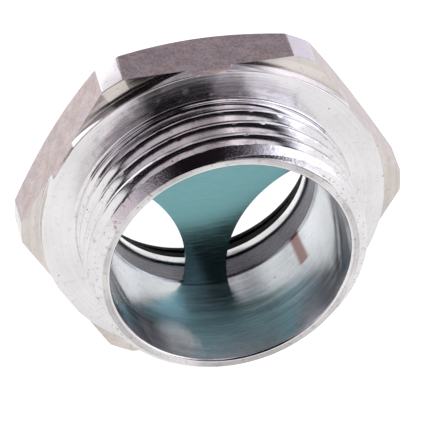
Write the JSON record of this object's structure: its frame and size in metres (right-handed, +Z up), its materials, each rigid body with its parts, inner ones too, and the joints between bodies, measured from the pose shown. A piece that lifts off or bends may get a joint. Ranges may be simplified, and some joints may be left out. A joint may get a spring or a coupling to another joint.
{
  "type": "oil sight glass",
  "caption": "Screw-in oil level sight glass: a hexagon body with an outside pipe thread, a clear glass disc on a rubber gasket and a pale reflector plate in the bore.",
  "frame": {"origin": "on the thread axis, in the plane of the sealing face behind the thread", "axes": "+Y along the thread axis towards the glass, -Y out of the threaded end into the oil, +Z up, normal to a flat of the hexagon"},
  "size_m": [0.0458, 0.0225, 0.041],
  "materials": {
    "body": "turned, bright with fine tool marks",
    "gasket": "matt black",
    "glass": "clear, ground edges",
    "reflector": "bright sheet with a pale blue-green tint"
  },
  "bodies": {
    "root": {"hexagon_body": "body", "glass_gasket": "gasket", "glass_disc": "glass", "reflector_plate": "reflector"}
  },
  "joints": []
}
